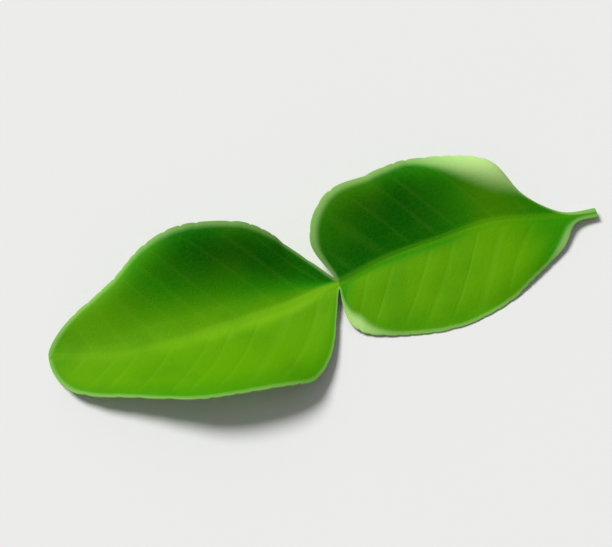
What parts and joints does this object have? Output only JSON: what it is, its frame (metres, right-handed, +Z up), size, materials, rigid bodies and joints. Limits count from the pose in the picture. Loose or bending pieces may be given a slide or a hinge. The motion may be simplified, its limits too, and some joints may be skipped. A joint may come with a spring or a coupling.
{
  "type": "kaffir lime leaf",
  "caption": "Double leaf lying upper face up: a rounded blade and a broadly winged stalk joined at a narrow waist, with a midrib raised below and a short cut stalk.",
  "frame": {"origin": "the point on the surface the leaf lies on, under the middle of the leaf's bounding box", "axes": "+X from the blade's tip towards the cut end of the stalk, +Z up, away from the surface the leaf lies on, -Y towards the half whose wing edge touches that surface"},
  "size_m": [0.1248, 0.0422, 0.0139],
  "materials": {
    "leaf": "fresh leaf: smooth waxy upper face, paler matte lower face"
  },
  "bodies": {
    "root": {"kaffir_lime_leaf": "leaf"}
  },
  "joints": []
}
